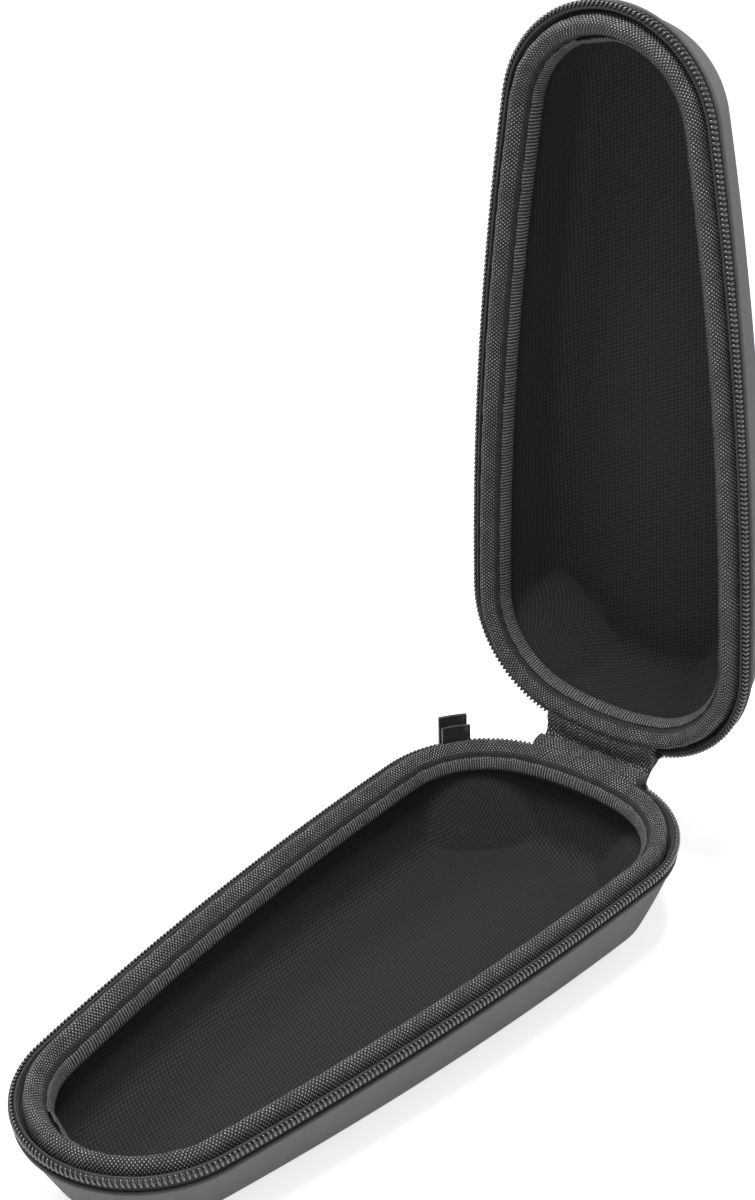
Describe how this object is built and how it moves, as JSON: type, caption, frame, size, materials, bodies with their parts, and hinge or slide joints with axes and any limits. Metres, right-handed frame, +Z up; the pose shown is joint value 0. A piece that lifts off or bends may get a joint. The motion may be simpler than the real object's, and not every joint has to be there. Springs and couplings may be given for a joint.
{
  "type": "hard-shell zip case",
  "caption": "Open clamshell travel case with a tapered tombstone outline, padded woven rims, a coil zip and a cloth hinge, for a long slim appliance.",
  "frame": {"origin": "centre of the flat underside of the base half, on the surface it rests on, midway along the case's length", "axes": "+Z up; +Y from the narrow rounded end towards the hinge at the wide end; +X to the right seen from the narrow end, across the case"},
  "size_m": [0.0876, 0.2326, 0.2345],
  "materials": {
    "outer_fabric": "rough",
    "foam": "rough",
    "lining_fabric": "rough",
    "band_fabric": "rough",
    "binding_tape": "rough",
    "zip_tape": "rough",
    "zip_coil": "satin",
    "slider_metal": "satin",
    "pull_metal": "satin"
  },
  "bodies": {
    "base": {"base_cover": "outer_fabric", "base_core": "foam", "base_lining": "lining_fabric", "base_rim_band": "band_fabric", "base_binding": "binding_tape", "base_zip_tape": "zip_tape", "base_zip_coil": "zip_coil", "base_coil_stops": "zip_coil", "base_hinge_cloth": "band_fabric"},
    "lid": {"lid_cover": "outer_fabric", "lid_core": "foam", "lid_lining": "lining_fabric", "lid_rim_band": "band_fabric", "lid_binding": "binding_tape", "lid_zip_tape": "zip_tape", "lid_zip_coil": "zip_coil", "lid_coil_stops": "zip_coil", "lid_hinge_cloth": "band_fabric"},
    "slider": {"slider_body": "slider_metal", "slider_bail": "slider_metal"},
    "pull": {"pull_tab": "pull_metal"}
  },
  "joints": [
    {"name": "lid_hinge", "type": "hinge", "parent": "base", "child": "lid", "pos_m": [0, 0.10094, 0.03185], "axis": [-1, 0, 0], "range_deg": [-88, 92]},
    {"name": "slider_travel", "type": "hinge", "parent": "base", "child": "slider", "pos_m": [-0.01, 0.06489, 0.03059], "axis": [0, -0.035, 0.9994], "range_deg": [0, 18]},
    {"name": "pull_swing", "type": "hinge", "parent": "slider", "child": "pull", "pos_m": [-0.03965, 0.08647, 0.02984], "axis": [0.5878, 0.8085, 0.0283], "range_deg": [-6, 160]}
  ]
}
